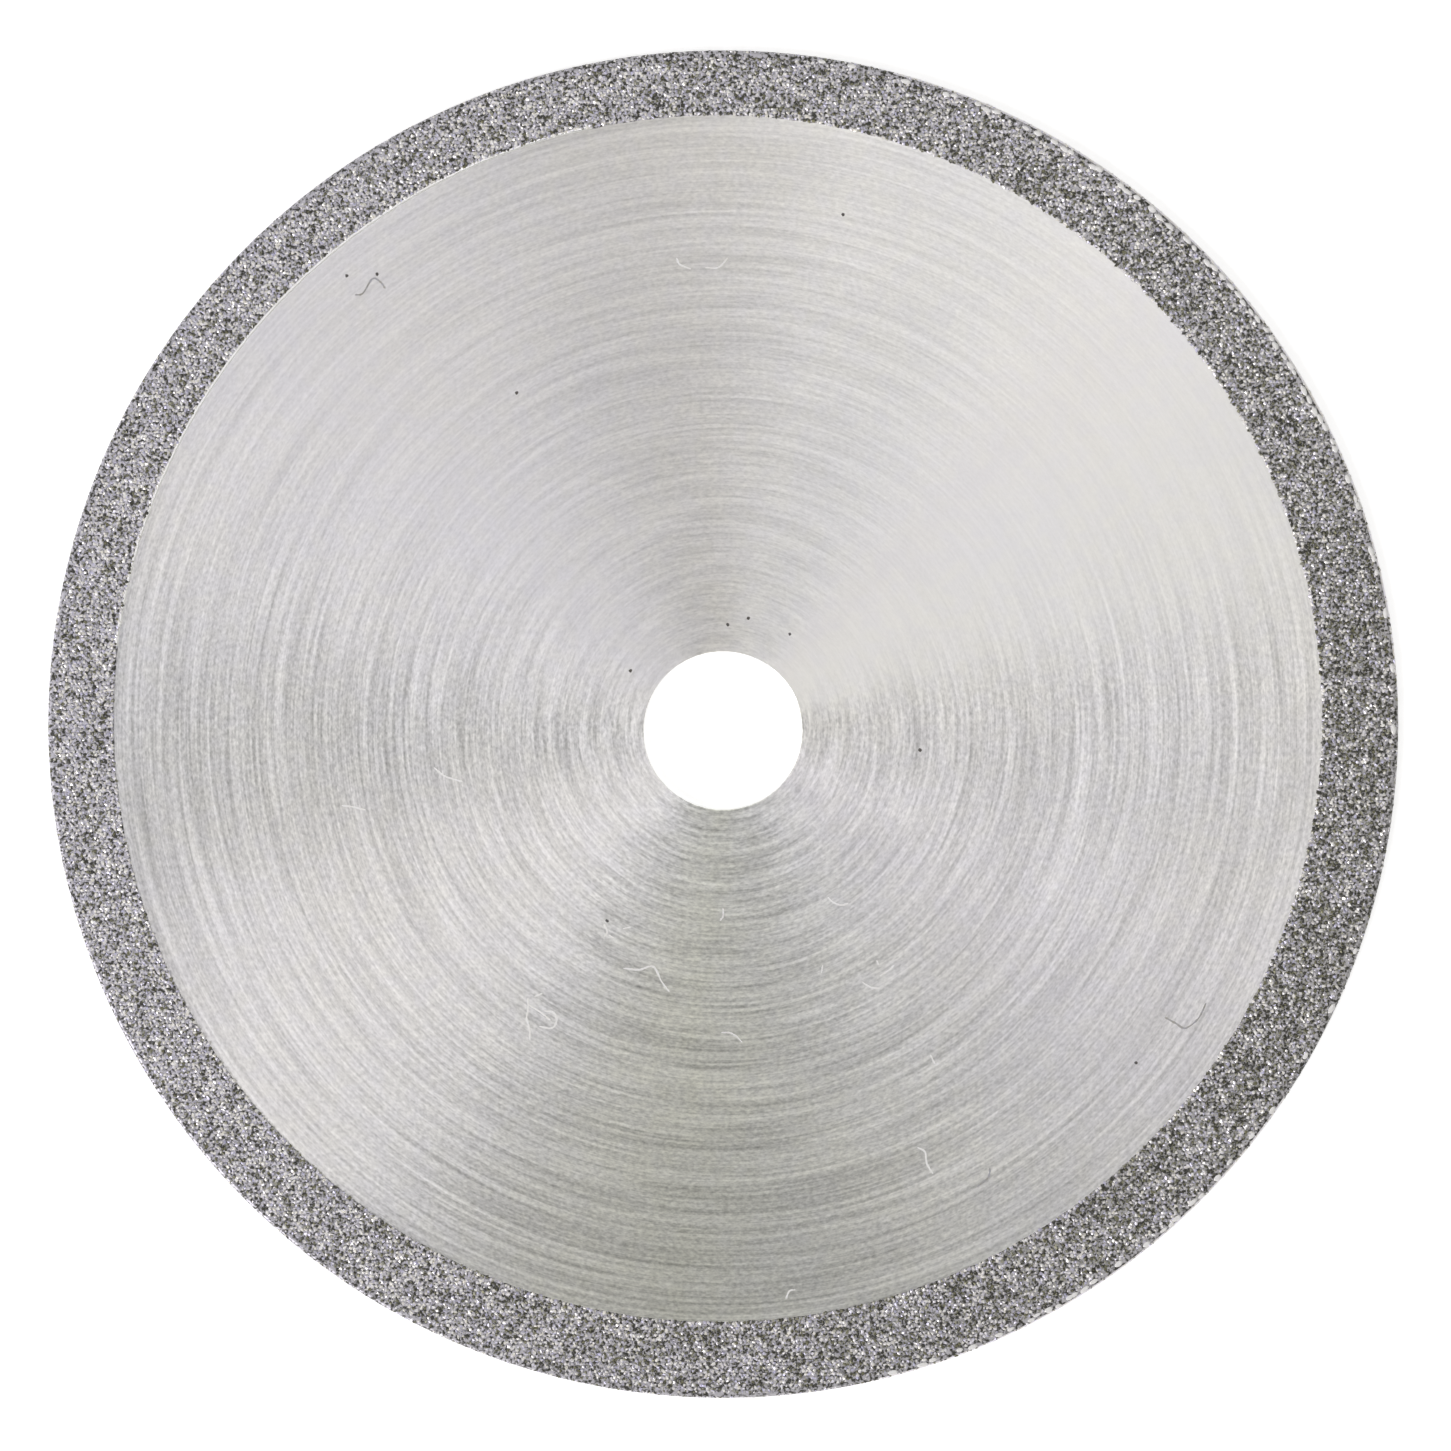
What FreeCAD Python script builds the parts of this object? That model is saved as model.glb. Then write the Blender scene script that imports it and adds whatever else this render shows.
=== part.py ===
import FreeCAD, Part

import math
import os

# A diamond cutting disc for a small table saw: a thin ground steel blank with a plain
# arbor bore, whose rim is nickel plated with one layer of diamond grit. The plating
# wraps round the rim as a channel, and on each face it ends at a round window, where a
# mask kept the steel bare.
# The disc lies flat: Z is the arbor axis, and z = 0 is the lower face of the plating.
# All sizes are in millimetres.

# Steel blank
bore_diameter = 10.0
bore_chamfer = 0.05
blank_thickness = 0.40
rim_chamfer = 0.10

# Diamond plating
disc_diameter = 85.0  # over the grit
coat_thickness = 0.15  # the same over both faces and round the rim
rim_rounding = 0.30  # of the plating, round the blank's chamfered rim
band_width = 4.5  # on each face, as a mean: the mask sat a little off the arbor axis
mask_shift_x = -0.33
mask_shift_y = 0.44
window_chamfer = 0.08  # the plating slopes down to the mask

# How far a cutting tool runs past the faces that it cuts
overrun = 1.0

# Sizes that follow from the ones above
bore_radius = bore_diameter / 2
disc_radius = disc_diameter / 2
disc_thickness = blank_thickness + 2 * coat_thickness
blank_radius = disc_radius - coat_thickness
blank_bottom = coat_thickness
blank_top = coat_thickness + blank_thickness
window_radius = disc_radius - band_width

axis_point = FreeCAD.Vector(0, 0, 0)
axis_up = FreeCAD.Vector(0, 0, 1)


def section_point(radius, z):
    """A point of a section, which is drawn in the XZ plane."""
    return FreeCAD.Vector(radius, 0, z)


def line(start, end):
    return Part.LineSegment(section_point(*start), section_point(*end)).toShape()


def outward_arc(centre_radius, centre_z, radius, first_degrees, last_degrees):
    """An arc of a section, with its angles counted up from the outward direction."""

    def on_arc(degrees):
        angle = math.radians(degrees)
        return section_point(
            centre_radius + radius * math.cos(angle),
            centre_z + radius * math.sin(angle),
        )

    halfway = (first_degrees + last_degrees) / 2
    return Part.Arc(on_arc(first_degrees), on_arc(halfway), on_arc(last_degrees)).toShape()


def turned(edges):
    """The solid that a closed section sweeps in one turn about the arbor axis."""
    section = Part.Face(Part.Wire(edges))
    return section.revolve(axis_point, axis_up, 360)


def window_column():
    """The round column over and under both windows, which are in line."""
    height = disc_thickness + 2 * overrun
    foot = FreeCAD.Vector(mask_shift_x, mask_shift_y, -overrun)
    return Part.makeCylinder(window_radius, height, foot, axis_up)


def make_steel_blank():
    """The ground steel disc, deburred at its bore and rim.

    Each flat face is parted at the window's line: the bare steel inside it, which the
    saw's flanges clamp, and the ring that is plated.
    """
    corners = [
        (bore_radius + bore_chamfer, blank_bottom),
        (blank_radius - rim_chamfer, blank_bottom),
        (blank_radius, blank_bottom + rim_chamfer),
        (blank_radius, blank_top - rim_chamfer),
        (blank_radius - rim_chamfer, blank_top),
        (bore_radius + bore_chamfer, blank_top),
        (bore_radius, blank_top - bore_chamfer),
        (bore_radius, blank_bottom + bore_chamfer),
    ]
    next_corners = corners[1:] + corners[:1]
    blank = turned([line(start, end) for start, end in zip(corners, next_corners)])
    bare = blank.common(window_column())
    plated = blank.cut(window_column())
    return bare.fuse(plated)


def make_grit_envelope():
    """A full disc out to the grit's tips, with a rounded rim."""
    inward = disc_radius - rim_rounding
    lower = rim_rounding
    upper = disc_thickness - rim_rounding
    return turned(
        [
            line((0, 0), (inward, 0)),
            outward_arc(inward, lower, rim_rounding, -90, 0),
            line((disc_radius, lower), (disc_radius, upper)),
            outward_arc(inward, upper, rim_rounding, 0, 90),
            line((inward, disc_thickness), (0, disc_thickness)),
            line((0, disc_thickness), (0, 0)),
        ]
    )


def window_rims(band):
    """The circles where the windows' walls meet the two flat faces of the plating."""
    outer_faces = (0, disc_thickness)
    found = []
    for edge in band.Edges:
        curve = edge.Curve
        if not isinstance(curve, Part.Circle) or not math.isclose(curve.Radius, window_radius):
            continue
        if any(math.isclose(curve.Center.z, z, abs_tol=1e-6) for z in outer_faces):
            found.append(edge)
    return found


def make_diamond_band():
    """The plated grit: a skin round the blank's rim, open inside the windows."""
    band = make_grit_envelope().cut([make_steel_blank(), window_column()])
    return band.makeChamfer(window_chamfer, window_rims(band))


def single_solid(shape):
    """The one solid of a shape, which an operation may have wrapped in a compound."""
    if len(shape.Solids) != 1:
        raise ValueError(f"expected one solid and found {len(shape.Solids)}")
    return shape.Solids[0]


nodes = {
    "steel_blank": make_steel_blank,
    "diamond_band": make_diamond_band,
}

os.makedirs("parts", exist_ok=True)
for name, make in nodes.items():
    solid = single_solid(make())
    solid.exportStep(os.path.join("parts", f"{name}.step"))
    box = solid.optimalBoundingBox()
    print(
        f"{name}: valid {solid.isValid()}, volume {solid.Volume:.3f} mm3, "
        f"{len(solid.Faces)} faces, {box.XLength:.3f} x {box.YLength:.3f} x {box.ZLength:.3f} mm"
    )
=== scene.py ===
import math

import bmesh
import bpy
import numpy as np
from mathutils import Matrix, Vector


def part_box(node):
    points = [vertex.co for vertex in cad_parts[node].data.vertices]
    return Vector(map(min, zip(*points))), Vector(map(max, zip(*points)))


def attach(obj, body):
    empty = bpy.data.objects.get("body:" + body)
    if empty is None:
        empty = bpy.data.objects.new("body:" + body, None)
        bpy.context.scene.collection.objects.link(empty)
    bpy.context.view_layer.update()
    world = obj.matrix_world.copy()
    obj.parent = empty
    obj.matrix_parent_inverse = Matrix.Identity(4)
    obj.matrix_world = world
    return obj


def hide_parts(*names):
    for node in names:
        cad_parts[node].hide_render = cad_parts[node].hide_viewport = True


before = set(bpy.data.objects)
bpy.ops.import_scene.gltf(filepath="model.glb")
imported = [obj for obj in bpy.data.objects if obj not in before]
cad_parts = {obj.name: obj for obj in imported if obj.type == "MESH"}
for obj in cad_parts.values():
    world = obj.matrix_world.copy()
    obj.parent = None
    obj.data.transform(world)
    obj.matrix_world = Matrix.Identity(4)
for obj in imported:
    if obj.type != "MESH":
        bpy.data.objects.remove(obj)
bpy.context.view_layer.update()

MM = 0.001
SEED = 20

# Sizes that the frame gives, in metres
band_low, band_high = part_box("diamond_band")
blank_low, blank_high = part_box("steel_blank")
DISC_RADIUS = (band_high.x - band_low.x) / 2
DISC_TOP = band_high.z
BLANK_RADIUS = (blank_high.x - blank_low.x) / 2
BLANK_TOP = blank_high.z
BLANK_BOTTOM = blank_low.z
COAT = DISC_TOP - BLANK_TOP
MIDDLE = DISC_TOP / 2


def window_from_frame():
    """The centre and radius of the plating's window, from the band's rim on the steel's face."""
    places = [vertex.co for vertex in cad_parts["diamond_band"].data.vertices]
    on_face = [place for place in places if abs(place.z - BLANK_TOP) < 0.01 * MM]
    inner = [place for place in on_face if place.xy.length < BLANK_RADIUS - 2 * MM]
    xs = [place.x for place in inner]
    ys = [place.y for place in inner]
    centre = Vector(((min(xs) + max(xs)) / 2, (min(ys) + max(ys)) / 2))
    return centre, (max(xs) - min(xs)) / 2


WINDOW_CENTRE, WINDOW_RADIUS = window_from_frame()

# Camera, which stands over the far half of the disc and looks a little back
CAMERA_PLACE = Vector((0.74, 16.2, 260.0)) * MM
CAMERA_AIM = Vector((0.16, 0.31, 0.0)) * MM
CAMERA_LENS = 102.56
CAMERA_SENSOR = 36.0

# Light
WORLD_LEVEL = 0.25
WORLD_COLOUR = (1.0, 1.0, 0.94, 1)
WHITE_LEVEL = 1.06  # of the world, where it is seen as a white backdrop
BACKDROP_FULL = 0.35  # the sine of the elevation up to which metal shows the white backdrop
BACKDROP_END = 0.60  # the sine of the elevation where it has faded out
FLOOR_REACH = 3.0
FLOOR_COLOUR = (0.9, 0.9, 0.9, 1)
FLOOR_GLOW = 0.60
LAMP_DISTANCE = 1.0

# Each lamp: its name, azimuth, angle from straight up, size, power and colour
LAMPS = (
    ("key_left", 220, 60, 0.60, 7.40, (1.0, 0.965, 1.0)),
    ("fill_right", 60, 25, 0.40, 0.745, (1.0, 0.98, 0.97)),
    ("top_left", 150, 12, 0.35, 0.48, (0.965, 0.935, 1.0)),
    ("top_right", 0, 12, 0.35, 0.29, (1.0, 0.96, 0.975)),
    ("top_front", 330, 12, 0.35, 0.17, (0.94, 0.94, 1.0)),
)

# Ground steel. The table goes round the arbor axis: an angle in degrees, the steel's colour there, and
# how deep its ground lines are, as a share of LINE_DEPTH. The colours carry a painted sheen and shade
# of the lamps, lighter and darker by angle, and the lines are shallower where that painted sheen is
# bright.
LINE_DEPTH = 2.2
LONG_LINES_PER_MM = 4.7
LONG_LINES_CHANGE = 2.6  # of a long line, per radian round the disc
SHORT_LINES_PER_MM = 5.0
SHORT_LINES_CHANGE = 3.3 / MM  # of a short line, per metre along it
SHORT_SHARE = 0.46
LINE_DETAIL = 1.5
LINE_ROUGHNESS = 0.6
LINE_BUMP = 0.010 * MM
STEEL_CLOUD_SCALE = 1000.0
STEEL_CLOUD_TINT = (0.985, 0.985, 1.01)
STEEL_STAIN_SCALE = 60.0
STEEL_STAIN_WARM = (1.005, 1.0, 0.99, 1)
STEEL_STAIN_COOL = (0.99, 0.99, 1.01, 1)
STEEL_ROUND_PAINTED_SHEEN = (
    (-180, (0.72, 0.72, 0.695), 1.00),
    (-160, (0.745, 0.74, 0.72), 0.75),
    (-140, (0.735, 0.73, 0.71), 0.60),
    (-120, (0.71, 0.71, 0.69), 0.90),
    (-95, (0.675, 0.68, 0.61), 0.93),
    (-60, (0.75, 0.75, 0.715), 0.80),
    (-37, (0.74, 0.73, 0.715), 0.65),
    (-25, (0.76, 0.75, 0.73), 0.70),
    (-10, (0.695, 0.69, 0.665), 0.80),
    (5, (0.715, 0.71, 0.68), 0.84),
    (18, (0.77, 0.77, 0.735), 0.24),
    (32, (0.735, 0.735, 0.705), 0.08),
    (45, (0.695, 0.69, 0.67), 0.11),
    (60, (0.72, 0.72, 0.705), 0.30),
    (77, (0.785, 0.78, 0.755), 0.42),
    (93, (0.75, 0.74, 0.70), 0.50),
    (110, (0.71, 0.705, 0.68), 0.44),
    (138, (0.73, 0.725, 0.71), 0.24),
    (158, (0.735, 0.73, 0.705), 0.55),
    (180, (0.72, 0.72, 0.695), 1.00),
)

# Stray scratches on the front, each along a few points in mm from the arbor axis
SCRATCH_WIDTH = 0.15 * MM
SCRATCH_RISE = 0.012 * MM
SCRATCH_FOOT = 0.004 * MM  # in the steel
SCRATCH_STEPS = 6  # of the curve between two points
SCRATCH_UNEVEN = (0.7, 1.3)  # of the width
PALE_SCRATCHES = (
    ((-6.3, -15.0), (-5.3, -15.1), (-4.4, -14.9), (-3.9, -15.8), (-3.4, -16.5)),
    ((-12.3, -16.9), (-12.3, -17.6), (-12.4, -18.2), (-12.2, -18.9), (-12.2, -19.6)),
    ((-12.3, -17.3), (-11.5, -17.8), (-10.9, -18.3)),
    ((-11.9, -16.8), (-11.4, -16.6)),
    ((-11.3, -17.7), (-10.7, -17.8), (-10.5, -18.3), (-10.8, -18.8), (-11.6, -18.7)),
    ((6.6, -10.5), (6.9, -10.8), (7.4, -11.0), (7.9, -10.9)),
    ((12.3, -26.4), (12.8, -26.7), (12.9, -27.4), (13.3, -28.1)),
    ((-7.5, -12.2), (-7.3, -12.7), (-7.5, -13.0)),
    ((-7.2, -12.9), (-6.9, -13.1)),
    ((-6.3, -12.5), (-5.8, -12.4)),
    ((-0.1, -19.1), (0.4, -19.1), (0.8, -19.3), (1.2, -19.7)),
    ((8.8, -15.9), (9.3, -16.2), (9.9, -16.3)),
    ((9.9, -15.5), (10.5, -15.1), (10.8, -14.8)),
    ((9.7, -14.5), (9.8, -14.8)),
    ((0.0, -11.2), (0.0, -11.7), (-0.2, -12.0)),
    ((-2.9, 29.6), (-2.7, 29.2), (-2.0, 28.9)),
    ((-1.1, 29.0), (-0.3, 29.0), (0.3, 29.6)),
    ((-24.0, -4.7), (-23.3, -4.8), (-22.5, -5.0)),
    ((-18.2, -2.3), (-17.6, -2.8), (-17.1, -3.0), (-16.4, -3.2)),
    ((4.6, -35.5), (4.2, -35.6), (4.0, -36.1)),
    ((6.3, -14.8), (6.2, -15.3)),
    ((13.1, -20.5), (13.4, -21.1)),
)
DARK_SCRATCHES = (
    ((-23.0, 27.3), (-22.5, 27.4), (-21.9, 28.3), (-21.4, 28.1), (-21.1, 27.7)),
    ((27.9, -18.1), (28.6, -18.5), (29.2, -18.8), (30.0, -18.2), (30.5, -17.2)),
    ((16.9, -27.7), (16.8, -28.3), (16.1, -28.9)),
)

# Dark specks on the front, in mm from the arbor axis
SPECK_RADIUS = 0.13 * MM
SPECK_UNEVEN = (0.75, 1.2)  # of the radius
SPECK_EDGE = 0.002 * MM  # in the steel
SPECK_CORNERS = 10
DARK_SPECKS = (
    (-5.8, 3.8),
    (4.2, 6.1),
    (0.3, 6.7),
    (1.6, 7.1),
    (-12.9, 21.2),
    (26.1, -21.0),
    (-23.5, 28.5),
    (-21.6, 28.6),
    (7.5, 32.3),
    (-7.3, -12.0),
    (12.4, -1.2),
)

# Plating
NICKEL_SHARE = 0.36  # of the coat's thickness, up to which nickel fills the gaps between grains
LIP_SHARE = 0.55  # the same where the nickel built up against the mask and was left without grains
LIP_WIDTH = 0.13 * MM
LIP_HIGHLIGHT_OVER = 0.35  # of the bare lip's mask, over which the lip gets the bright metal of its painted highlight
EDGE_NOISE = 0.018 * MM  # how raggedly the nickel ends at the mask
EDGE_WAVES = (20, 300)  # of that, round the disc
EDGE_FOOT = 0.01 * MM  # the width of the nickel's steep end
FLOOR_RINGS = 9
FLOOR_SWELL = 0.006 * MM
FLOOR_WAVES = (60, 500)
RIM_ROUNDING = 0.30 * MM
RIM_DEPTH = 0.03 * MM  # of the nickel under the grains' tips on the rim
RIM_RISE_START = 0.25 * MM  # inside the rounding, where the nickel starts to rise to the rim
RIM_RISE_MIDDLE = 0.12 * MM
RIM_STEP = 15  # degrees, of the rounding
CORNER_SHEEN_OVER = 0.25  # of the bare rim's mask, over which its front corner gets a painted sheen
BLANK_CHAMFER = 0.10 * MM  # at the steel's rim, inside the plating
SKIN_STEPS = 1440  # of the nickel skin, round the disc
LIP_RINGS = 4  # strips of the skin that make up the lip at the window
CORNER_SHEEN_RINGS = 4  # strips of the skin that make up the rim's front corner, which take the painted sheen where it is bare
DULL, LIP_HIGHLIGHT, CORNER_SHEEN = range(3)  # the skin's materials: dull nickel, the lip's bright metal, which is partly a painted highlight, and the rim corner's painted sheen

# Grains
GRAIN_PITCH = 0.26 * MM
GRAIN_WIDTHS = (0.22 * MM, 0.38 * MM)
GRAIN_SHAPES = 64
GRAIN_FLATNESS = 0.50
GRAIN_TILT = 0.20
GRAIN_STRETCH = (0.85, 1.2)
GRAIN_SINK = 0.035 * MM  # of the lowest tips under the highest
GRAIN_SCATTER = 0.30  # of the pitch
STEP_SCATTER = 0.3  # of the step from one grain or lump to the next, round the rim
FACET_STEPS = (-1, 0, 0, 1)  # how many tones a facet may differ from its grain
CLOUD_SIZE = 1.3 * MM  # of the patches where pale or dark grains gather
CLOUD_WAVES = 60
CLOUD_SHARE = 0.22
LIT_SIDE_ANGLE = 168  # degrees, toward which the grains are paler, as painted light, and away from which they are darker, as painted shade
LIT_SIDE_LEAN = 0.30

# The row of grains along the window, with its room and scatter in mm
ROW_ROOM = 0.10
ROW_SCATTER = 0.03
ROW_RAGGED = (-0.10, 0.04)  # where the row is most uneven
ROW_LIP_ROOM = 0.04 * MM  # more of it beside the bare lip
ROW_STEP_SCATTER = 0.25  # of the step from one grain to the next
FACE_ROOM = 0.85 * GRAIN_PITCH  # between the window and the other grains

# The rim's grains, with how deep they lie and how much their height varies in mm
RIM_PITCH = GRAIN_PITCH * 0.95
RIM_WIDTHS = (0.24 * MM, 0.36 * MM)
RIM_SINK = (0.06, 0.10)
RIM_SCATTER = 0.03
RIM_BARE_SHARE = 0.7  # of the front corner's grains, lost where it is most bare
RIM_ROOM = 0.16 * MM  # without grains on the face there
RIM_ROOM_SHARE = 0.8  # of the grains that this room holds for

# Smooth lumps of nickel where the rim's front corner is bare, whose white metal is partly a painted
# highlight. Their inset from the rim and their widths are in mm.
PATCH_PITCH = 0.68 * MM
PATCH_SHARE = 0.9
PATCH_INSET = (0.24, 0.40)
PATCH_LEAN = (6, 18)  # degrees, outward
PATCH_SINK = 0.06 * MM
PATCH_WIDTHS = (0.34, 0.52)
PATCH_STRETCH = (1.15, 1.6)
PATCH_SPIN = 0.15

# The part of a noise's range that is spread from 0 to 1
STRONG_NOISE = (0.35, 0.65)
SOFT_NOISE = (0.3, 0.7)

# Dull nickel, which has pits, and is paler on one side of the band, as painted light, and darker on the
# other, as painted shade
PIT_SCALE = 5200.0
PIT_RANGE = (0.40, 0.56)
PIT_BUMP = 0.03 * MM
PIT_COLOUR = (0.05, 0.05, 0.04, 1)
NICKEL_COLOUR = (0.57, 0.565, 0.605, 1)
# Painted shade on the side of the band away from the lit side, and painted light on the side toward it
NICKEL_SHADE_AWAY = (0.86, 0.85, 0.81, 1)
NICKEL_LIGHT_TOWARD = (1.12, 1.11, 1.15, 1)

# Pale metal, with faint clouds, which on the lip and the bare patches is partly a painted highlight
PALE_METAL_SCALE = 2500.0
PALE_METAL_DARK = (0.94, 0.93, 0.90, 1)
PALE_METAL_LIGHT = (1.0, 1.0, 1.0, 1)

# Small clouds in the colour of the grains, the rim corner's painted sheen and the marks
MOTTLE_SCALE = 4500.0
MOTTLE_DARK = (0.94, 0.91, 0.82)
MOTTLE_LIGHT = (1.04, 1.03, 1.13)


def near_angle(angle, degrees, width):
    """A smooth bump round the arbor axis, 1 at an angle and fading over a width, in degrees."""
    away = (angle - math.radians(degrees) + np.pi) % (2 * np.pi) - np.pi
    return np.exp(-((away / math.radians(width)) ** 2))


def bare_lip_and_highlight(angle):
    """Where the nickel's lip at the window was left without grains, and has bright metal that is partly a
    painted highlight.
    """
    return near_angle(angle, 137, 34)


def bare_rim_and_sheen(angle):
    """Where the rim's front corner was left with few grains, and has a painted sheen and painted
    highlights.
    """
    return np.clip(near_angle(angle, 40, 30) + 0.8 * near_angle(angle, 305, 20), 0, 1)


def ragged_edge(angle):
    """Where the grains along the window stand most unevenly over it."""
    return np.clip(near_angle(angle, 40, 32) + 0.5 * near_angle(angle, 185, 25), 0, 1)


def add_camera():
    """The camera looks down, with the disc's +Y up in the picture."""
    back = (CAMERA_PLACE - CAMERA_AIM).normalized()
    right = Vector((0, 1, 0)).cross(back).normalized()
    up = back.cross(right)
    data = bpy.data.cameras.new("camera")
    data.lens = CAMERA_LENS
    data.sensor_width = CAMERA_SENSOR
    camera = bpy.data.objects.new("camera", data)
    camera.location = CAMERA_PLACE
    camera.rotation_mode = "QUATERNION"
    camera.rotation_quaternion = Matrix((right, up, back)).transposed().to_quaternion()
    bpy.context.scene.collection.objects.link(camera)
    bpy.context.scene.camera = camera


class Nodes:
    """A short way to write the nodes of a material or of the world."""

    def __init__(self, owner):
        owner.use_nodes = True
        self.tree = owner.node_tree
        self.tree.nodes.clear()

    def add(self, kind):
        return self.tree.nodes.new(kind)

    def set(self, node, name, value):
        socket = node.inputs[name]
        if isinstance(value, bpy.types.NodeSocket):
            self.tree.links.new(value, socket)
        else:
            socket.default_value = value

    def math(self, operation, a, b):
        node = self.add("ShaderNodeMath")
        node.operation = operation
        self.set(node, 0, a)
        self.set(node, 1, b)
        return node.outputs[0]

    def vector(self, operation, a, b=None):
        node = self.add("ShaderNodeVectorMath")
        node.operation = operation
        self.set(node, 0, a)
        if b is not None:
            self.set(node, 1, b)
        return node.outputs["Value" if operation in ("LENGTH", "DOT_PRODUCT") else "Vector"]

    def ramp(self, value, low, high, to_low=0.0, to_high=1.0, smooth=False):
        """A value carried from one range to another, and kept within it."""
        node = self.add("ShaderNodeMapRange")
        node.interpolation_type = "SMOOTHSTEP" if smooth else "LINEAR"
        self.set(node, "Value", value)
        self.set(node, "From Min", low)
        self.set(node, "From Max", high)
        self.set(node, "To Min", to_low)
        self.set(node, "To Max", to_high)
        return node.outputs["Result"]

    def mix(self, factor, first, second):
        node = self.add("ShaderNodeMix")
        node.data_type = "RGBA"
        self.set(node, 0, factor)
        self.set(node, 6, first)
        self.set(node, 7, second)
        return node.outputs[2]

    def scale(self, vector, factor):
        """A vector or a colour times a factor."""
        node = self.add("ShaderNodeVectorMath")
        node.operation = "SCALE"
        self.set(node, 0, vector)
        self.set(node, "Scale", factor)
        return node.outputs[0]

    def noise(self, vector, scale, detail, roughness=0.5):
        node = self.add("ShaderNodeTexNoise")
        self.set(node, "Vector", vector)
        self.set(node, "Scale", scale)
        self.set(node, "Detail", detail)
        self.set(node, "Roughness", roughness)
        return node.outputs["Fac"]

    def round_axis(self, flat, stops):
        """A colour and an extra value, given at a few angles round the Z axis, in degrees."""
        split = self.add("ShaderNodeSeparateXYZ")
        self.set(split, 0, flat)
        angle = self.math("ARCTAN2", split.outputs["Y"], split.outputs["X"])
        node = self.add("ShaderNodeValToRGB")
        self.set(node, "Fac", self.ramp(angle, -math.pi, math.pi))
        elements = node.color_ramp.elements
        for _ in range(len(stops) - len(elements)):
            elements.new(0.5)
        for element, (degrees, colour, extra) in zip(elements, stops):
            element.position = (degrees + 180) / 360
            element.color = (*colour, extra)
        return node.outputs["Color"], node.outputs["Alpha"]

    def position(self):
        return self.add("ShaderNodeTexCoord").outputs["Object"]

    def height(self, vector):
        """The Z part of a vector."""
        split = self.add("ShaderNodeSeparateXYZ")
        self.set(split, 0, vector)
        return split.outputs["Z"]

    def finish(self, shader, output="ShaderNodeOutputMaterial"):
        output = self.add(output)
        self.tree.links.new(shader, output.inputs["Surface"])


def ground_lines(n, flat, around, lines_per_mm):
    """Noise that changes fast across the ground lines. Around is where it is read along them."""
    across = n.add("ShaderNodeCombineXYZ")
    n.set(across, "Z", n.math("MULTIPLY", n.vector("LENGTH", flat), lines_per_mm / MM))
    place = n.vector("ADD", around, across.outputs[0])
    return n.noise(place, 1.0, LINE_DETAIL, LINE_ROUGHNESS)


def ground_steel():
    """Steel ground in concentric lines, with faint stains, and a painted sheen and shade that change round
    the disc.
    """
    material = bpy.data.materials.new("ground_steel")
    n = Nodes(material)
    position = n.position()
    flat = n.vector("MULTIPLY", position, (1, 1, 0))
    round_disc = n.scale(n.vector("NORMALIZE", flat), LONG_LINES_CHANGE)
    long_lines = ground_lines(n, flat, round_disc, LONG_LINES_PER_MM)
    short_lines = ground_lines(n, flat, n.scale(flat, SHORT_LINES_CHANGE), SHORT_LINES_PER_MM)
    lines = n.mix(SHORT_SHARE, long_lines, short_lines)
    lines = n.math("SUBTRACT", lines, 0.5)
    # The colour and the line depth by angle are a painted sheen and shade of the lamps
    colour, depth = n.round_axis(flat, STEEL_ROUND_PAINTED_SHEEN)
    depth = n.math("MULTIPLY", depth, LINE_DEPTH)
    bump = n.add("ShaderNodeBump")
    n.set(bump, "Height", lines)
    n.set(bump, "Distance", LINE_BUMP)
    n.set(bump, "Strength", 1.0)
    cloud = n.ramp(n.noise(position, STEEL_CLOUD_SCALE, 0.0), *STRONG_NOISE)
    stain = n.ramp(n.noise(position, STEEL_STAIN_SCALE, 1.0), *STRONG_NOISE)
    colour = n.vector("MULTIPLY", colour, n.mix(stain, STEEL_STAIN_WARM, STEEL_STAIN_COOL))
    clouded = n.vector("MULTIPLY", colour, STEEL_CLOUD_TINT)
    colour = n.mix(cloud, colour, clouded)
    colour = n.scale(colour, n.math("ADD", n.math("MULTIPLY", lines, depth), 1.0))
    tangent = n.add("ShaderNodeTangent")
    tangent.direction_type = "RADIAL"
    tangent.axis = "Z"
    shader = n.add("ShaderNodeBsdfPrincipled")
    n.set(shader, "Base Color", colour)
    n.set(shader, "Metallic", 1.0)
    n.set(shader, "Roughness", 0.30)
    n.set(shader, "Anisotropic", 0.85)
    n.set(shader, "Anisotropic Rotation", 0.25)
    n.set(shader, "Normal", bump.outputs["Normal"])
    n.set(shader, "Tangent", tangent.outputs[0])
    n.finish(shader.outputs[0])
    return material


def dull_nickel():
    """Plated nickel between the grains, rough, with small dark pits, paler on one side of the band as
    painted light and darker on the other as painted shade.
    """
    material = bpy.data.materials.new("dull_nickel")
    n = Nodes(material)
    position = n.position()
    pits = n.noise(position, PIT_SCALE, 2.0)
    bump = n.add("ShaderNodeBump")
    n.set(bump, "Height", pits)
    n.set(bump, "Distance", PIT_BUMP)
    # Painted light on one side of the band and painted shade on the other
    pale = math.radians(LIT_SIDE_ANGLE)
    way = n.vector("NORMALIZE", n.vector("MULTIPLY", position, (1, 1, 0)))
    lean = n.ramp(n.vector("DOT_PRODUCT", way, (math.cos(pale), math.sin(pale), 0)), -1, 1)
    tint = n.mix(lean, NICKEL_SHADE_AWAY, NICKEL_LIGHT_TOWARD)
    colour = n.mix(n.ramp(pits, *PIT_RANGE), PIT_COLOUR, NICKEL_COLOUR)
    shader = n.add("ShaderNodeBsdfPrincipled")
    n.set(shader, "Base Color", n.vector("MULTIPLY", colour, tint))
    n.set(shader, "Metallic", 0.4)
    n.set(shader, "Roughness", 0.45)
    n.set(shader, "Normal", bump.outputs["Normal"])
    n.finish(shader.outputs[0])
    return material


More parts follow.
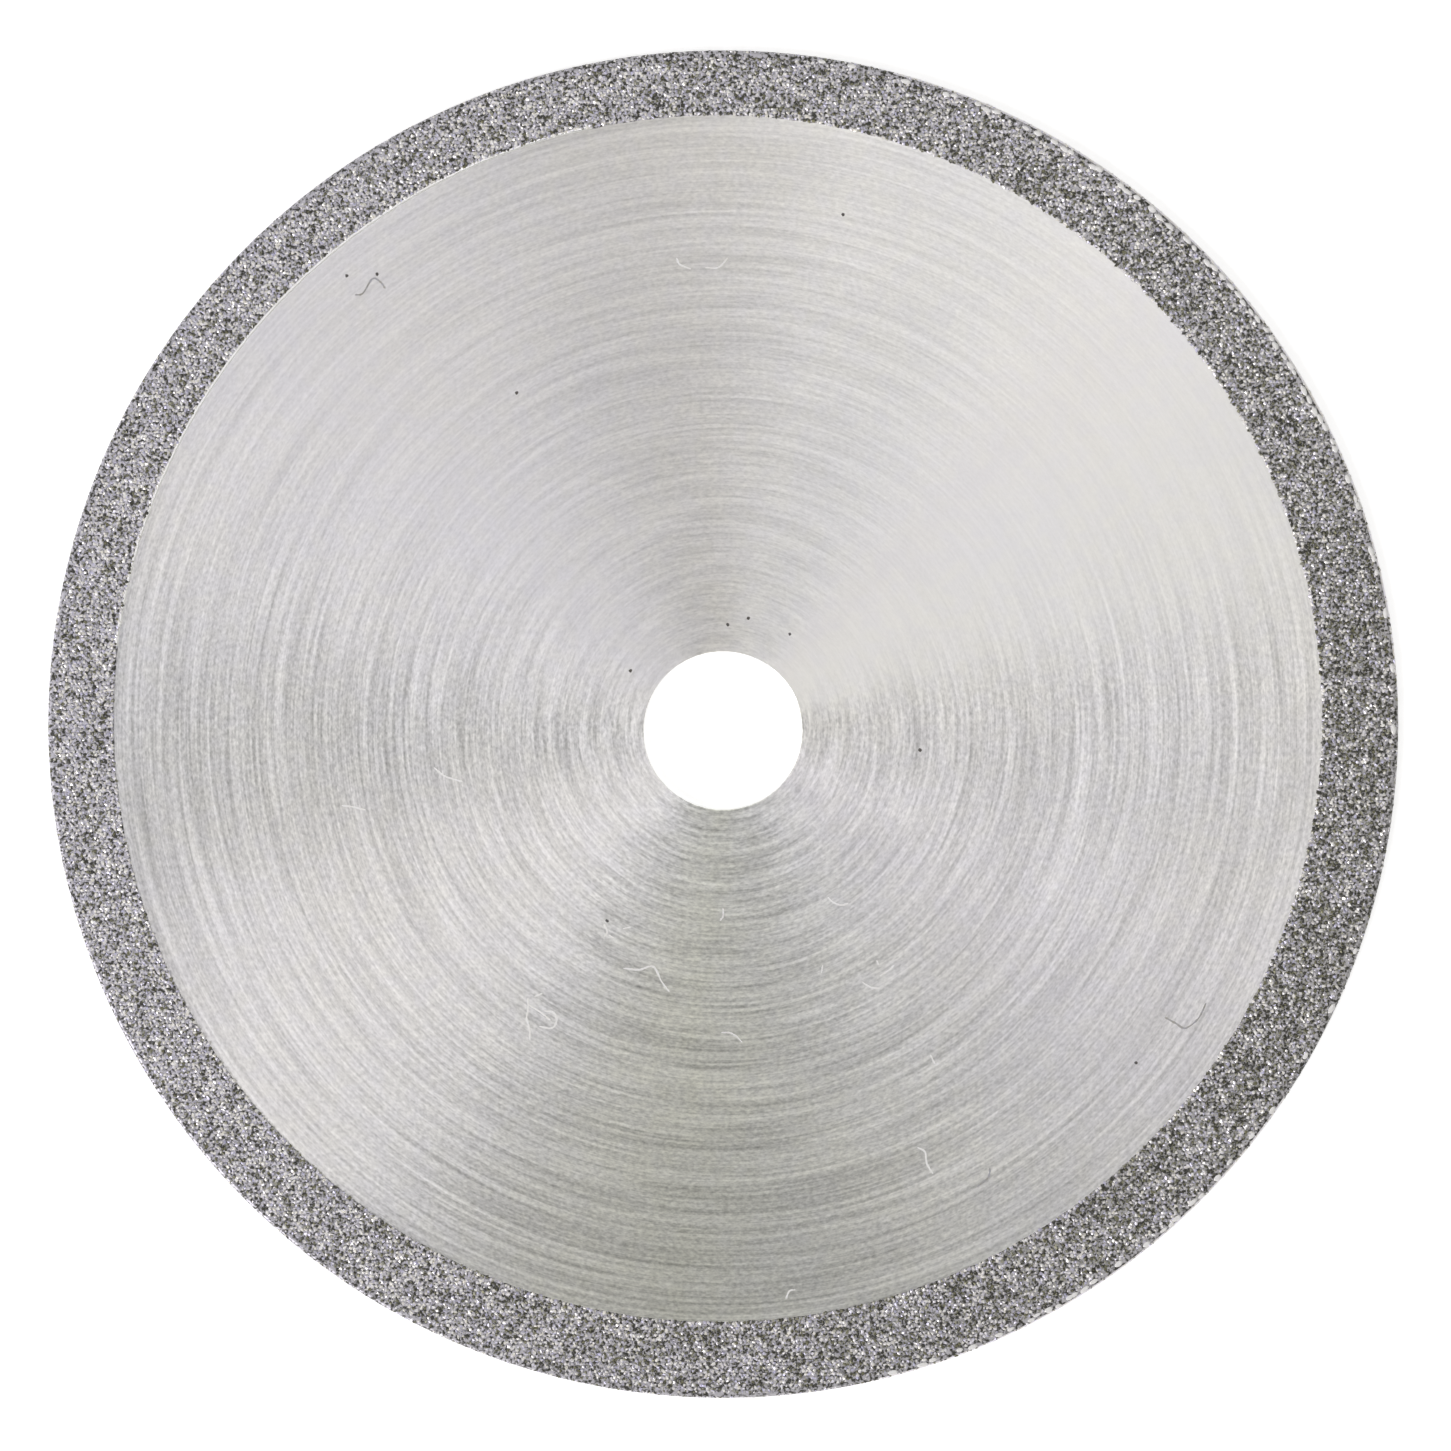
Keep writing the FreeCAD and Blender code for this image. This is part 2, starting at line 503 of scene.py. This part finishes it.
def pale_metal(name, metallic, roughness):
    """Smooth pale metal, for the nickel's lip and bare patches, where its paleness is partly a painted
    highlight, and for the burrs along scratches.
    """
    material = bpy.data.materials.new(name)
    n = Nodes(material)
    cloud = n.ramp(n.noise(n.position(), PALE_METAL_SCALE, 2.0), *SOFT_NOISE)
    shader = n.add("ShaderNodeBsdfPrincipled")
    n.set(shader, "Base Color", n.mix(cloud, PALE_METAL_DARK, PALE_METAL_LIGHT))
    n.set(shader, "Metallic", metallic)
    n.set(shader, "Roughness", roughness)
    n.finish(shader.outputs[0])
    return material


def mottled_material(name, colour, metallic, roughness):
    """A colour with small warm and cool clouds, for grains, the rim corner's painted sheen, dark scratches
    and specks.
    """
    material = bpy.data.materials.new(name)
    n = Nodes(material)
    dark = [tint * part for tint, part in zip(MOTTLE_DARK, colour)]
    light = [min(1.0, tint * part) for tint, part in zip(MOTTLE_LIGHT, colour)]
    cloud = n.ramp(n.noise(n.position(), MOTTLE_SCALE, 0.0), *SOFT_NOISE)
    shader = n.add("ShaderNodeBsdfPrincipled")
    n.set(shader, "Base Color", n.mix(cloud, (*dark, 1.0), (*light, 1.0)))
    n.set(shader, "Metallic", metallic)
    n.set(shader, "Roughness", roughness)
    n.finish(shader.outputs[0])
    return material


def mesh_object(name, places, faces, materials, face_material=None, smooth=False):
    """A mesh piece in the scene."""
    mesh = bpy.data.meshes.new(name)
    faces = np.asarray(faces, np.int32)
    corners = faces.shape[1]
    mesh.vertices.add(len(places))
    mesh.vertices.foreach_set("co", np.asarray(places, np.float32).ravel())
    mesh.loops.add(faces.size)
    mesh.loops.foreach_set("vertex_index", faces.ravel())
    mesh.polygons.add(len(faces))
    mesh.polygons.foreach_set("loop_start", np.arange(0, faces.size, corners, dtype=np.int32))
    mesh.polygons.foreach_set("loop_total", np.full(len(faces), corners, np.int32))
    for material in materials:
        mesh.materials.append(material)
    if face_material is not None:
        mesh.polygons.foreach_set("material_index", np.asarray(face_material, np.int32))
    mesh.polygons.foreach_set("use_smooth", np.full(len(faces), smooth))
    mesh.update(calc_edges=True)
    mesh.validate()
    piece = bpy.data.objects.new(name, mesh)
    bpy.context.scene.collection.objects.link(piece)
    return piece


def window_edge(angle):
    """How far the window's circle lies from the arbor axis, at an angle round that axis."""
    along = WINDOW_CENTRE.x * np.cos(angle) + WINDOW_CENTRE.y * np.sin(angle)
    across = WINDOW_CENTRE.y * np.cos(angle) - WINDOW_CENTRE.x * np.sin(angle)
    return along + np.sqrt(WINDOW_RADIUS**2 - across**2)


def ripple(rng, count, fewest, most):
    """A seamless noise round the disc, of unit spread, from the fewest waves up to the most."""
    angle = np.linspace(0, 2 * np.pi, count, endpoint=False)
    total = np.zeros(count)
    for waves in range(fewest, most):
        total += np.cos(waves * angle + rng.uniform(0, 2 * np.pi)) * rng.uniform(0.5, 1.5)
    return total / total.std()


def face_rings(rng, angle, shoulder):
    """The nickel over one face, as rings from the window's edge to where the rim's rounding starts.

    Each ring is a radius and a height over the steel's face, both all the way round.
    """
    around = len(angle)
    floor = COAT * NICKEL_SHARE
    lip = floor + (COAT * LIP_SHARE - floor) * bare_lip_and_highlight(angle)
    raggedness = EDGE_NOISE * (1 - 0.7 * bare_lip_and_highlight(angle))
    edge = window_edge(angle) + raggedness * ripple(rng, around, *EDGE_WAVES)
    found = [
        (edge, np.zeros(around)),
        (edge + EDGE_FOOT, (0.25 + 0.45 * bare_lip_and_highlight(angle)) * lip),
        (edge + 0.4 * LIP_WIDTH, 0.95 * lip),
        (edge + LIP_WIDTH, lip),
        (edge + 1.5 * LIP_WIDTH, 0.5 * (lip + floor)),
        (edge + 2.0 * LIP_WIDTH, np.full(around, floor)),
    ]
    first = edge + 2.0 * LIP_WIDTH
    last = shoulder - RIM_RISE_START
    for share in np.linspace(0, 1, FLOOR_RINGS + 1)[1:]:
        swell = FLOOR_SWELL * ripple(rng, around, *FLOOR_WAVES)
        found.append((first * (1 - share) + last * share, floor + swell))
    full = COAT - RIM_DEPTH
    found.append((np.full(around, shoulder - RIM_RISE_MIDDLE), np.full(around, 0.5 * (floor + full))))
    found.append((np.full(around, shoulder), np.full(around, full)))
    return found


def rim_rings(around, shoulder):
    """The nickel round the rim, as rings from the front's shoulder to the back's."""
    reach = RIM_ROUNDING - RIM_DEPTH
    front = [(DISC_TOP - RIM_ROUNDING, degrees) for degrees in range(90 - RIM_STEP, -1, -RIM_STEP)]
    back = [(RIM_ROUNDING, degrees) for degrees in range(0, -90, -RIM_STEP)]
    found = []
    for level, degrees in front + back:
        turn = math.radians(degrees)
        found.append((
            np.full(around, shoulder + reach * math.cos(turn)),
            np.full(around, level + reach * math.sin(turn)),
        ))
    return found


def seat_rings(around):
    """The nickel's seat on the steel's chamfered rim, as rings from the back to the front."""
    section = (
        (BLANK_RADIUS - BLANK_CHAMFER, BLANK_BOTTOM),
        (BLANK_RADIUS, BLANK_BOTTOM + BLANK_CHAMFER),
        (BLANK_RADIUS, BLANK_TOP - BLANK_CHAMFER),
        (BLANK_RADIUS - BLANK_CHAMFER, BLANK_TOP),
    )
    return [(np.full(around, radius), np.full(around, level)) for radius, level in section]


def add_nickel(materials):
    """The nickel skin, a channel round the steel's rim, a little below the grains' tips.

    Its materials are the dull one, the bright one for the bare lip, which is partly a painted highlight,
    and a pale one for the rim's front corner where that is bare, whose paleness is a painted sheen.
    """
    rng = np.random.default_rng(SEED)
    around = SKIN_STEPS
    angle = np.linspace(0, 2 * np.pi, around, endpoint=False)
    shoulder = DISC_RADIUS - RIM_ROUNDING
    front = face_rings(rng, angle, shoulder)
    first_corner_sheen = len(front) + 1
    back = face_rings(rng, angle, shoulder)
    rings = [(radius, BLANK_TOP + rise) for radius, rise in front]
    rings += rim_rings(around, shoulder)
    rings += [(radius, BLANK_BOTTOM - rise) for radius, rise in reversed(back)]
    last_lip = len(rings) - 1
    rings += seat_rings(around)
    places = []
    for radius, height in rings:
        places.append(np.stack([radius * np.cos(angle), radius * np.sin(angle), height], 1))
    here = np.arange(around)
    after = (here + 1) % around
    faces = []
    finish = []
    for ring in range(len(rings)):
        first = ring * around
        second = (ring + 1) % len(rings) * around
        faces.append(np.stack([first + here, second + here, second + after, first + after], 1))
        kind = np.full(around, DULL)
        # The lip's bright metal is partly a painted highlight, and the rim corner's pale nickel is a
        # painted sheen
        if ring < LIP_RINGS or last_lip - LIP_RINGS <= ring < last_lip:
            kind[bare_lip_and_highlight(angle) > LIP_HIGHLIGHT_OVER] = LIP_HIGHLIGHT
        elif first_corner_sheen <= ring < first_corner_sheen + CORNER_SHEEN_RINGS:
            kind[bare_rim_and_sheen(angle) > CORNER_SHEEN_OVER] = CORNER_SHEEN
        finish.append(kind)
    places = np.concatenate(places)
    faces = np.concatenate(faces)
    return mesh_object("nickel_skin", places, faces, materials, np.concatenate(finish), smooth=True)


def crystal_shape(rng):
    """A blunt crystal: a broad foot of four corners and a smaller top of three."""
    mesh = bmesh.new()
    for corners, reach, level in ((4, (0.85, 1.15), (-1.0, -0.3)), (3, (0.30, 0.80), (0.40, 1.0))):
        turn = rng.uniform(0, 2 * np.pi)
        for corner in range(corners):
            angle = turn + (corner + rng.uniform(-0.25, 0.25)) * 2 * np.pi / corners
            radius = rng.uniform(*reach)
            mesh.verts.new((radius * math.cos(angle), radius * math.sin(angle), rng.uniform(*level)))
    bmesh.ops.convex_hull(mesh, input=mesh.verts)
    loose = [v for v in mesh.verts if not v.link_faces]
    bmesh.ops.delete(mesh, geom=loose, context="VERTS")
    return mesh_arrays(mesh)


def lump_shape():
    """A smooth lump of nickel."""
    mesh = bmesh.new()
    bmesh.ops.create_icosphere(mesh, subdivisions=2, radius=1.0)
    return mesh_arrays(mesh)


def mesh_arrays(mesh):
    """The places and triangles of a mesh, which is used up."""
    bmesh.ops.triangulate(mesh, faces=mesh.faces)
    mesh.verts.index_update()
    places = np.array([v.co for v in mesh.verts])
    faces = np.array([[v.index for v in face.verts] for face in mesh.faces])
    mesh.free()
    return places, faces


def cloud_field(rng, places):
    """A smooth random field over the faces, of unit spread."""
    total = np.zeros(len(places))
    for _ in range(CLOUD_WAVES):
        way = rng.uniform(0, 2 * np.pi)
        wave = 2 * np.pi / CLOUD_SIZE * rng.uniform(0.3, 1.3)
        phase = rng.uniform(0, 2 * np.pi)
        total += np.cos(wave * (places[:, 0] * math.cos(way) + places[:, 1] * math.sin(way)) + phase)
    return total / total.std()


def lattice(rng, reach, pitch):
    """Points scattered evenly over a disc: a triangular lattice, each point moved at random."""
    rows = np.arange(-reach, reach, pitch * math.sqrt(3) / 2)
    columns = np.arange(-reach, reach, pitch)
    x, y = np.meshgrid(columns, rows)
    x[1::2] += pitch / 2
    x = x.ravel()
    y = y.ravel()
    move = pitch * GRAIN_SCATTER * np.sqrt(rng.uniform(0, 1, len(x)))
    way = rng.uniform(0, 2 * np.pi, len(x))
    x += move * np.cos(way)
    y += move * np.sin(way)
    return np.hypot(x, y), np.arctan2(y, x)


def pick_tones(rng, centres, shares):
    """A tone for each grain, with pale and dark ones gathered in loose patches, and paler ones toward one
    side of the band as painted light.
    """
    own = rng.normal(size=len(centres))
    mood = math.sqrt(1 - CLOUD_SHARE**2) * own + CLOUD_SHARE * cloud_field(rng, centres)
    angle = np.arctan2(centres[:, 1], centres[:, 0])
    # Painted light and shade: grains paler toward one side of the band and darker away from it
    mood += LIT_SIDE_LEAN * np.cos(angle - math.radians(LIT_SIDE_ANGLE))
    rank = np.argsort(np.argsort(mood)) / len(centres)
    return np.searchsorted(np.cumsum(shares), rank, side="right").clip(0, len(shares) - 1)


def add_grains(name, shapes, rng, centres, normals, widths, materials, shares):
    """Grains of crystal as one piece, each turned at random."""
    count = len(centres)
    tone = pick_tones(rng, centres, shares)
    spin = rng.uniform(0, 2 * np.pi, count)
    stretch = rng.uniform(*GRAIN_STRETCH, count)
    return add_bits(name, shapes, rng, centres, normals, widths, spin, stretch, materials, tone)


def add_bits(name, shapes, rng, centres, normals, widths, spin, stretch, materials, tone):
    """Bits as one piece. Each is a turned and stretched copy of a shape, sunk in the nickel."""
    which = rng.integers(0, len(shapes), len(centres))
    all_places = []
    all_faces = []
    all_tones = []
    offset = 0
    for shape_index, (places, faces) in enumerate(shapes):
        mine = np.where(which == shape_index)[0]
        half = widths[mine] / 2
        height = np.minimum(half * GRAIN_FLATNESS, COAT / 2)
        local_x = places[None, :, 0] * (half * stretch[mine])[:, None]
        local_y = places[None, :, 1] * (half / stretch[mine])[:, None]
        local_z = places[None, :, 2] * height[:, None]
        cos = np.cos(spin[mine])[:, None]
        sin = np.sin(spin[mine])[:, None]
        u = local_x * cos - local_y * sin
        v = local_x * sin + local_y * cos
        up = normals[mine]
        out = centres[mine] * (1, 1, 0)
        out /= np.linalg.norm(out, axis=1)[:, None]
        side = np.cross((0.0, 0.0, 1.0), out)
        across = np.cross(up, side)
        world = (
            centres[mine][:, None, :]
            + u[..., None] * side[:, None, :]
            + v[..., None] * across[:, None, :]
            + local_z[..., None] * up[:, None, :]
        )
        all_places.append(world.reshape(-1, 3))
        base = offset + np.arange(len(mine))[:, None, None] * len(places)
        all_faces.append((faces[None] + base).reshape(-1, 3))
        all_tones.append(np.repeat(tone[mine], len(faces)))
        offset += len(mine) * len(places)
    places = np.concatenate(all_places)
    radius = np.hypot(places[:, 0], places[:, 1])
    places[:, :2] *= np.minimum(1, DISC_RADIUS / radius)[:, None]
    places[:, 2] = np.clip(places[:, 2], 0, DISC_TOP)
    tones = np.concatenate(all_tones)
    tones = (tones + rng.choice(FACET_STEPS, len(tones))).clip(0, len(materials) - 1)
    return mesh_object(name, places, np.concatenate(all_faces), materials, tones)


def add_face_grains(rng, name, side, shapes, materials, shares):
    """The grains on the front (side 1) or the back (side -1)."""
    flat_limit = DISC_RADIUS - RIM_ROUNDING
    radius, angle = lattice(rng, DISC_RADIUS, GRAIN_PITCH)
    lip_room = LIP_WIDTH * bare_lip_and_highlight(angle) + FACE_ROOM
    rim_room = RIM_ROOM * bare_rim_and_sheen(angle) * (rng.uniform(0, 1, len(radius)) < RIM_ROOM_SHARE)
    keep = (radius > window_edge(angle) + lip_room) & (radius < flat_limit - rim_room)
    per_row = int(2 * math.pi * WINDOW_RADIUS / GRAIN_PITCH)
    row_place = np.arange(per_row) + rng.uniform(-ROW_STEP_SCATTER, ROW_STEP_SCATTER, per_row)
    row_angle = row_place * 2 * np.pi / per_row
    row_room = (LIP_WIDTH + ROW_LIP_ROOM) * bare_lip_and_highlight(row_angle)
    row_room += (ROW_ROOM + rng.uniform(-ROW_SCATTER, ROW_SCATTER, per_row)) * MM
    row_room += rng.uniform(*ROW_RAGGED, per_row) * MM * ragged_edge(row_angle)
    radius = np.concatenate([radius[keep], window_edge(row_angle) + row_room])
    angle = np.concatenate([angle[keep], row_angle])
    widths = rng.uniform(*GRAIN_WIDTHS, len(radius))
    half_height = np.minimum(widths / 2 * GRAIN_FLATNESS, COAT / 2)
    rise = COAT - rng.uniform(0.0, GRAIN_SINK, len(radius)) - half_height
    level = MIDDLE + side * (BLANK_TOP - MIDDLE + rise)
    centres = np.stack([radius * np.cos(angle), radius * np.sin(angle), level], 1)
    normals = np.tile([0.0, 0.0, float(side)], (len(radius), 1))
    normals[:, :2] += rng.normal(0, GRAIN_TILT, (len(radius), 2))
    normals /= np.linalg.norm(normals, axis=1)[:, None]
    return add_grains(name, shapes, rng, centres, normals, widths, materials, shares)


def add_rim_grains(rng, shapes, materials, shares):
    """Three rows of grains round the rim: on its front corner, its wall and its back corner."""
    centres = []
    normals = []
    per_row = int(2 * math.pi * DISC_RADIUS / RIM_PITCH)
    for row, degrees in ((1, 45.0), (0, 0.0), (-1, -45.0)):
        place = np.arange(per_row) + rng.uniform(-STEP_SCATTER, STEP_SCATTER, per_row) + 0.5 * (row == 0)
        angle = place * 2 * np.pi / per_row
        if row == 1:
            angle = angle[rng.uniform(0, 1, per_row) > RIM_BARE_SHARE * bare_rim_and_sheen(angle)]
        turn = math.radians(degrees)
        reach = RIM_ROUNDING - rng.uniform(*RIM_SINK, len(angle)) * MM
        radius = DISC_RADIUS - RIM_ROUNDING + reach * math.cos(turn)
        height = MIDDLE + row * (MIDDLE - RIM_ROUNDING) + reach * math.sin(turn)
        height = height + rng.uniform(-RIM_SCATTER, RIM_SCATTER, len(angle)) * MM
        centres.append(np.stack([radius * np.cos(angle), radius * np.sin(angle), height], 1))
        normals.append(np.stack([
            math.cos(turn) * np.cos(angle),
            math.cos(turn) * np.sin(angle),
            np.full(len(angle), math.sin(turn)),
        ], 1))
    centres = np.concatenate(centres)
    normals = np.concatenate(normals)
    widths = rng.uniform(*RIM_WIDTHS, len(centres))
    return add_grains("grit_edge", shapes, rng, centres, normals, widths, materials, shares)


def add_bare_highlight_patches(rng, material):
    """Smooth nickel lumps, longer along the rim, where the rounding starts and grains are few. Their white
    is partly a painted highlight.
    """
    count = int(2 * math.pi * DISC_RADIUS / PATCH_PITCH)
    angle = (np.arange(count) + rng.uniform(-STEP_SCATTER, STEP_SCATTER, count)) * 2 * np.pi / count
    angle = angle[rng.uniform(0, 1, count) < PATCH_SHARE * bare_rim_and_sheen(angle)]
    count = len(angle)
    radius = DISC_RADIUS - rng.uniform(*PATCH_INSET, count) * MM
    lean = np.radians(rng.uniform(*PATCH_LEAN, count))
    level = np.full(count, DISC_TOP - PATCH_SINK)
    centres = np.stack([radius * np.cos(angle), radius * np.sin(angle), level], 1)
    normals = np.stack([np.sin(lean) * np.cos(angle), np.sin(lean) * np.sin(angle), np.cos(lean)], 1)
    widths = rng.uniform(*PATCH_WIDTHS, count) * MM
    stretch = rng.uniform(*PATCH_STRETCH, count)
    tone = np.zeros(count, int)
    spin = rng.uniform(-PATCH_SPIN, PATCH_SPIN, count)
    shapes = [lump_shape()]
    return add_bits("bare_highlight_patches", shapes, rng, centres, normals, widths, spin, stretch, [material], tone)


def smooth_path(points, steps):
    """A Catmull-Rom curve through points of a plane."""
    points = [Vector(point) for point in points]
    points = [2 * points[0] - points[1], *points, 2 * points[-1] - points[-2]]
    path = []
    for a, b, c, d in zip(points, points[1:], points[2:], points[3:]):
        for step in range(steps):
            t = step / steps
            square = 2 * a - 5 * b + 4 * c - d
            cube = 3 * b - a - 3 * c + d
            path.append(0.5 * (2 * b + (c - a) * t + square * t**2 + cube * t**3))
    path.append(points[-2])
    return path


def scratch_ribbon(rng, points):
    """A low burr along a scratch, three-sided and closed, with its foot in the steel."""
    path = [point * MM for point in smooth_path(points, SCRATCH_STEPS)]
    count = len(path)
    places = []
    for index, point in enumerate(path):
        along = (path[min(index + 1, count - 1)] - path[max(index - 1, 0)]).normalized()
        half = SCRATCH_WIDTH / 2 * rng.uniform(*SCRATCH_UNEVEN)
        if index in (0, count - 1):
            half *= 0.5
        side = Vector((-along.y, along.x)) * half
        ridge = Vector((0, 0))
        for offset, level in ((side, -SCRATCH_FOOT), (ridge, SCRATCH_RISE), (-side, -SCRATCH_FOOT)):
            places.append((point.x + offset.x, point.y + offset.y, BLANK_TOP + level))
    faces = [(0, 2, 1), (3 * count - 3, 3 * count - 2, 3 * count - 1)]
    for ring in range(0, 3 * (count - 1), 3):
        for corner in range(3):
            after = (corner + 1) % 3
            faces.append((ring + corner, ring + 3 + after, ring + 3 + corner))
            faces.append((ring + corner, ring + after, ring + 3 + after))
    return places, faces


def speck_dome(rng, point):
    """A low uneven dome, closed, with its foot in the steel."""
    x, y = Vector(point) * MM
    places = [(x, y, BLANK_TOP + SCRATCH_RISE), (x, y, BLANK_TOP - SCRATCH_FOOT)]
    for corner in range(SPECK_CORNERS):
        angle = 2 * math.pi * corner / SPECK_CORNERS
        reach = SPECK_RADIUS * rng.uniform(*SPECK_UNEVEN)
        places.append((x + reach * math.cos(angle), y + reach * math.sin(angle), BLANK_TOP - SPECK_EDGE))
    faces = []
    for corner in range(SPECK_CORNERS):
        here = 2 + corner
        after = 2 + (corner + 1) % SPECK_CORNERS
        faces.append((0, here, after))
        faces.append((1, after, here))
    return places, faces


def add_marks(rng, materials):
    """The scratches and specks on the steel's front, as one piece."""
    places = []
    faces = []
    tones = []
    bits = [(0, scratch_ribbon(rng, points)) for points in PALE_SCRATCHES]
    bits += [(1, scratch_ribbon(rng, points)) for points in DARK_SCRATCHES]
    bits += [(2, speck_dome(rng, point)) for point in DARK_SPECKS]
    for tone, (bit_places, bit_faces) in bits:
        faces += [tuple(len(places) + corner for corner in face) for face in bit_faces]
        tones += [tone] * len(bit_faces)
        places += bit_places
    return mesh_object("surface_marks", places, faces, materials, tones)


def add_floor():
    """A pale floor. Seen straight or in a reflection it glows a little, up to white."""
    reach = FLOOR_REACH
    places = [(-reach, -reach, 0), (reach, -reach, 0), (reach, reach, 0), (-reach, reach, 0)]
    material = bpy.data.materials.new("pale_floor")
    n = Nodes(material)
    diffuse = n.add("ShaderNodeBsdfDiffuse")
    n.set(diffuse, "Color", FLOOR_COLOUR)
    rays = n.add("ShaderNodeLightPath")
    seen = n.math("ADD", rays.outputs["Is Camera Ray"], rays.outputs["Is Glossy Ray"])
    seen = n.math("ADD", seen, rays.outputs["Is Transmission Ray"])
    glow = n.add("ShaderNodeEmission")
    n.set(glow, "Color", (1, 1, 1, 1))
    n.set(glow, "Strength", n.math("MULTIPLY", seen, FLOOR_GLOW))
    both = n.add("ShaderNodeAddShader")
    n.set(both, 0, diffuse.outputs[0])
    n.set(both, 1, glow.outputs[0])
    n.finish(both.outputs[0])
    floor = mesh_object("floor", places, [(0, 1, 2, 3)], [material])


def add_softbox(name, azimuth, polar, size, power, colour):
    """A square lamp that faces the disc's middle. Polar is its angle from straight up."""
    a = math.radians(azimuth)
    p = math.radians(polar)
    way = Vector((math.sin(p) * math.cos(a), math.sin(p) * math.sin(a), math.cos(p)))
    place = way * LAMP_DISTANCE
    data = bpy.data.lights.new(name, "AREA")
    data.shape = "SQUARE"
    data.size = size
    data.energy = power
    data.color = colour
    lamp = bpy.data.objects.new(name, data)
    lamp.location = place
    lamp.rotation_mode = "QUATERNION"
    lamp.rotation_quaternion = (-place).to_track_quat("-Z", "Y")
    lamp.visible_camera = False
    bpy.context.scene.collection.objects.link(lamp)


def add_world():
    """A soft even light. It is a white backdrop where it is seen straight, and low down in metal too."""
    world = bpy.data.worlds.new("studio")
    n = Nodes(world)
    rays = n.add("ShaderNodeLightPath")
    height = n.height(n.add("ShaderNodeTexCoord").outputs["Generated"])
    low_down = n.ramp(height, BACKDROP_FULL, BACKDROP_END, 1.0, 0.0, smooth=True)
    mirrored = n.math("MULTIPLY", rays.outputs["Is Glossy Ray"], low_down)
    seen = n.math("ADD", mirrored, rays.outputs["Is Camera Ray"])
    background = n.add("ShaderNodeBackground")
    n.set(background, "Color", WORLD_COLOUR)
    n.set(background, "Strength", n.ramp(seen, 0.0, 1.0, WORLD_LEVEL, WHITE_LEVEL))
    n.finish(background.outputs[0], "ShaderNodeOutputWorld")
    world.cycles.sampling_method = "NONE"
    bpy.context.scene.world = world


def add_light():
    add_world()
    for lamp in LAMPS:
        add_softbox(*lamp)


add_camera()
steel_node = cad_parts["steel_blank"]
steel = ground_steel()
for material_slot in steel_node.material_slots:
    material_slot.material = steel

grit_tones = [
    mottled_material("grit_black", (0.06, 0.06, 0.05), 0.2, 0.40),
    mottled_material("grit_olive", (0.20, 0.20, 0.125), 0.3, 0.38),
    mottled_material("grit_grey", (0.41, 0.415, 0.365), 0.3, 0.36),
    mottled_material("grit_lavender", (0.62, 0.615, 0.75), 0.3, 0.34),
    mottled_material("grit_pale", (0.89, 0.885, 0.93), 0.3, 0.30),
    mottled_material("grit_white", (1.0, 1.0, 1.0), 0.2, 0.22),
]
grit_shares = (0.13, 0.14, 0.12, 0.17, 0.20, 0.24)
grain_rng = np.random.default_rng(SEED + 1)
grain_shapes = [crystal_shape(grain_rng) for _ in range(GRAIN_SHAPES)]
# The lip's near-white metal is partly bare nickel and partly a painted highlight
lip_highlight_nickel = pale_metal("lip_highlight_nickel", 0.85, 0.30)
# The patches' near-white metal is partly bare nickel and partly painted highlights
patch_highlight_nickel = pale_metal("patch_highlight_nickel", 0.1, 0.30)
# Pale nickel on the rim's bare front corner: its paleness is a painted sheen
rim_corner_sheen = mottled_material("rim_corner_sheen", (0.88, 0.87, 0.90), 0.3, 0.40)
nickel_skin = add_nickel([dull_nickel(), lip_highlight_nickel, rim_corner_sheen])
band_pieces = [
    nickel_skin,
    add_face_grains(grain_rng, "grit_front", 1, grain_shapes, grit_tones, grit_shares),
    add_face_grains(grain_rng, "grit_back", -1, grain_shapes, grit_tones, grit_shares),
    add_rim_grains(grain_rng, grain_shapes, grit_tones, grit_shares),
    add_bare_highlight_patches(grain_rng, patch_highlight_nickel),
]
for piece in band_pieces:
    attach(piece, "root")
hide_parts("diamond_band")

mark_tones = [
    pale_metal("scratch_pale", 0.15, 0.45),
    mottled_material("scratch_dark", (0.45, 0.45, 0.45), 0.5, 0.45),
    mottled_material("speck_dark", (0.10, 0.095, 0.09), 0.0, 0.60),
]
surface_marks = add_marks(grain_rng, mark_tones)
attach(surface_marks, "root")

add_floor()
add_light()
view_settings = bpy.context.scene.view_settings
view_settings.view_transform = "Standard"
